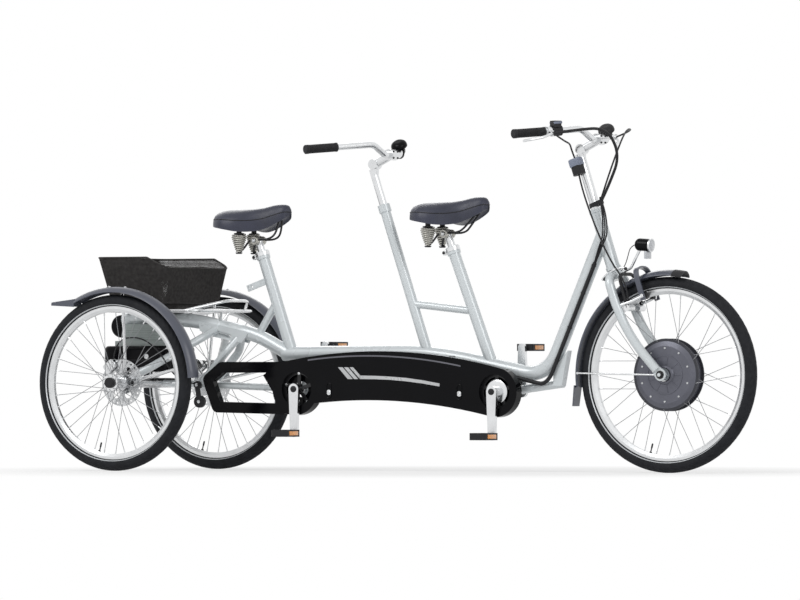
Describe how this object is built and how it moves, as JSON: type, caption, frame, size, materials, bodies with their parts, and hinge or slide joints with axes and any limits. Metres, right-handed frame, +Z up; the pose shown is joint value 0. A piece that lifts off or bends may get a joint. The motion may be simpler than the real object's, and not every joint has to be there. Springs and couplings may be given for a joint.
{
  "type": "tandem tricycle",
  "caption": "Tandem tricycle with riders in line on a low step-through beam, a steered front wheel with hub motor, and side-by-side rear wheels under a basket.",
  "frame": {"origin": "on the floor, below the middle of the overall length and on the middle plane", "axes": "+X forward, +Y to the riders' left, +Z up"},
  "size_m": [2.5819, 0.768, 1.1723],
  "materials": {
    "frame_paint": "silver-white gloss paint",
    "tyre_rubber": "matt black rubber",
    "bright_alloy": "polished alloy",
    "spoke_steel": "stainless steel wire",
    "motor_case": "grey anodised case",
    "cover_black": "gloss black moulding",
    "fender_plastic": "slate grey moulding",
    "saddle_vinyl": "black vinyl",
    "black_plastic": "black moulding",
    "basket_mesh": "dark grey coated wire",
    "black_steel": "black coated steel",
    "controller_grey": "grey painted case",
    "grip_rubber": "soft black rubber"
  },
  "bodies": {
    "frame": {"main_beam": "frame_paint", "head_tube": "frame_paint", "front_bracket": "frame_paint", "rear_bracket": "frame_paint", "front_seat_tube": "frame_paint", "rear_seat_tube": "frame_paint", "bar_mast": "frame_paint", "rear_tube": "frame_paint", "axle_struts": "frame_paint", "axle_housing": "bright_alloy", "gear_hub": "bright_alloy", "chain_guard": "cover_black", "chain_case": "cover_black", "chain_tensioner": "black_plastic", "carrier": "bright_alloy", "basket": "basket_mesh", "battery": "cover_black", "controller_box": "controller_grey", "rear_lamp": "cover_black", "rear_fenders": "fender_plastic", "brake_calipers": "bright_alloy", "front_saddle": "saddle_vinyl", "front_saddle_mount": "black_steel", "rear_saddle": "saddle_vinyl", "rear_saddle_mount": "black_steel", "rear_stem": "bright_alloy", "rear_handlebar": "bright_alloy", "rear_grips": "grip_rubber", "rear_bell": "cover_black"},
    "steering": {"fork": "frame_paint", "front_stem": "bright_alloy", "front_handlebar": "bright_alloy", "front_grips": "grip_rubber", "brake_levers": "bright_alloy", "bar_controls": "black_plastic", "column_box": "black_plastic", "front_fender": "fender_plastic", "rim_brake": "bright_alloy", "headlamp": "cover_black"},
    "front_wheel": {"front_tyre": "tyre_rubber", "front_rim": "bright_alloy", "front_spokes": "spoke_steel", "hub_motor": "motor_case"},
    "right_wheel": {"right_tyre": "tyre_rubber", "right_rim": "bright_alloy", "right_spokes": "spoke_steel", "right_hub": "bright_alloy"},
    "left_wheel": {"left_tyre": "tyre_rubber", "left_rim": "bright_alloy", "left_spokes": "spoke_steel", "left_hub": "bright_alloy"},
    "front_cranks": {"front_crank": "bright_alloy"},
    "rear_cranks": {"rear_crank": "bright_alloy"},
    "front_right_pedals": {"front_right_pedal": "black_plastic"},
    "front_left_pedals": {"front_left_pedal": "black_plastic"},
    "rear_right_pedals": {"rear_right_pedal": "black_plastic"},
    "rear_left_pedals": {"rear_left_pedal": "black_plastic"}
  },
  "joints": [
    {"name": "steer", "type": "hinge", "parent": "frame", "child": "steering", "pos_m": [0.88389, 0, 0.29953], "axis": [-0.3173, 0, 0.9483], "range_deg": [-45, 45]},
    {"name": "front_wheel_turn", "type": "hinge", "parent": "steering", "child": "front_wheel", "pos_m": [0.9645, 0, 0.3265], "axis": [0, 1, 0], "continuous": true},
    {"name": "right_wheel_turn", "type": "hinge", "parent": "frame", "child": "right_wheel", "pos_m": [-0.9905, -0.34, 0.3005], "axis": [0, 1, 0], "continuous": true},
    {"name": "left_wheel_turn", "type": "hinge", "parent": "frame", "child": "left_wheel", "pos_m": [-0.9905, 0.34, 0.3005], "axis": [0, 1, 0], "continuous": true},
    {"name": "rear_crank_turn", "type": "hinge", "parent": "frame", "child": "rear_cranks", "pos_m": [-0.4185, 0, 0.279], "axis": [0, 1, 0], "continuous": true},
    {"name": "front_crank_turn", "type": "hinge", "parent": "frame", "child": "front_cranks", "pos_m": [0.3505, 0, 0.27], "axis": [0, 1, 0], "continuous": true},
    {"name": "front_right_pedal_turn", "type": "hinge", "parent": "front_cranks", "child": "front_right_pedals", "pos_m": [0.3505, -0.165, 0.12], "axis": [0, 1, 0], "continuous": true},
    {"name": "front_left_pedal_turn", "type": "hinge", "parent": "front_cranks", "child": "front_left_pedals", "pos_m": [0.3505, 0.165, 0.42], "axis": [0, 1, 0], "continuous": true},
    {"name": "rear_right_pedal_turn", "type": "hinge", "parent": "rear_cranks", "child": "rear_right_pedals", "pos_m": [-0.4185, -0.165, 0.129], "axis": [0, 1, 0], "continuous": true},
    {"name": "rear_left_pedal_turn", "type": "hinge", "parent": "rear_cranks", "child": "rear_left_pedals", "pos_m": [-0.4185, 0.165, 0.429], "axis": [0, 1, 0], "continuous": true}
  ],
  "couplings": [
    {"joint": "front_crank_turn", "follows": "rear_crank_turn", "ratio": 1}
  ]
}
